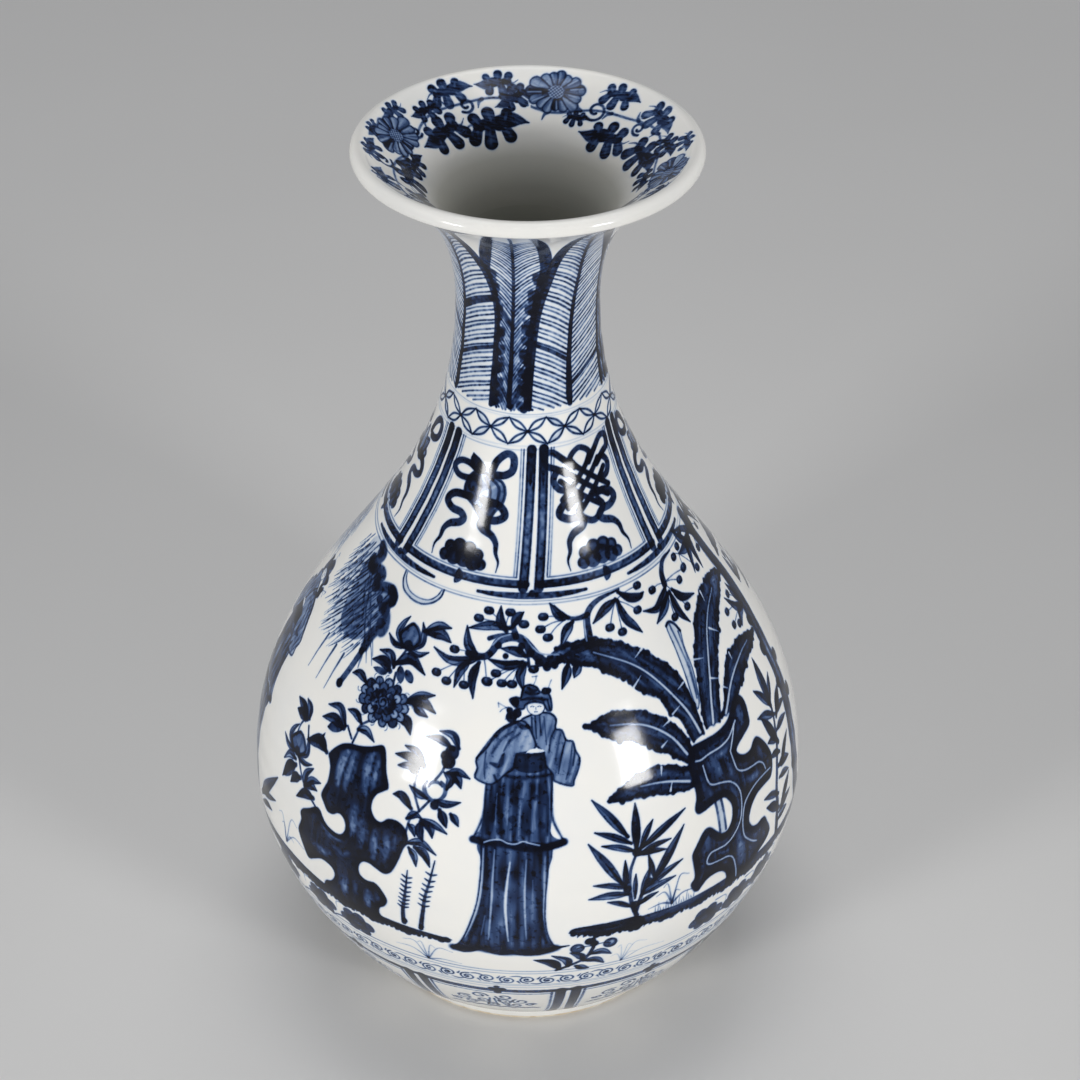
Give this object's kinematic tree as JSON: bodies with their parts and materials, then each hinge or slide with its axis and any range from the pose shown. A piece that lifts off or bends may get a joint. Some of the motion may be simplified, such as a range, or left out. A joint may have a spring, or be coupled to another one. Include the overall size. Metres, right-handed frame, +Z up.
{
  "type": "yuhuchunping vase",
  "caption": "Pear-shaped porcelain bottle vase with a slender neck, flared mouth and low ring foot, thrown in luted sections, painted in blue and glazed.",
  "frame": {"origin": "centre of the foot ring on the resting plane", "axes": "+Z up along the vase's axis, -Y towards the viewer of the painted front"},
  "size_m": [0.181, 0.181, 0.3],
  "materials": {
    "porcelain": "bare fired white porcelain, fine grained, lightly stained at the foot",
    "slip": "fired luting slip, matte",
    "painted_glaze": "cobalt blue brushwork under a glossy clear glaze, faintly blue-white",
    "plain_glaze": "glossy clear glaze over white porcelain"
  },
  "bodies": {
    "root": {"mouth_and_neck": "porcelain", "shoulder": "porcelain", "belly_bowl": "porcelain", "foot_and_base": "porcelain", "neck_slip": "slip", "belly_slip": "slip", "base_slip": "slip", "outer_glaze": "painted_glaze", "inner_glaze": "plain_glaze", "base_glaze": "plain_glaze"}
  },
  "joints": []
}
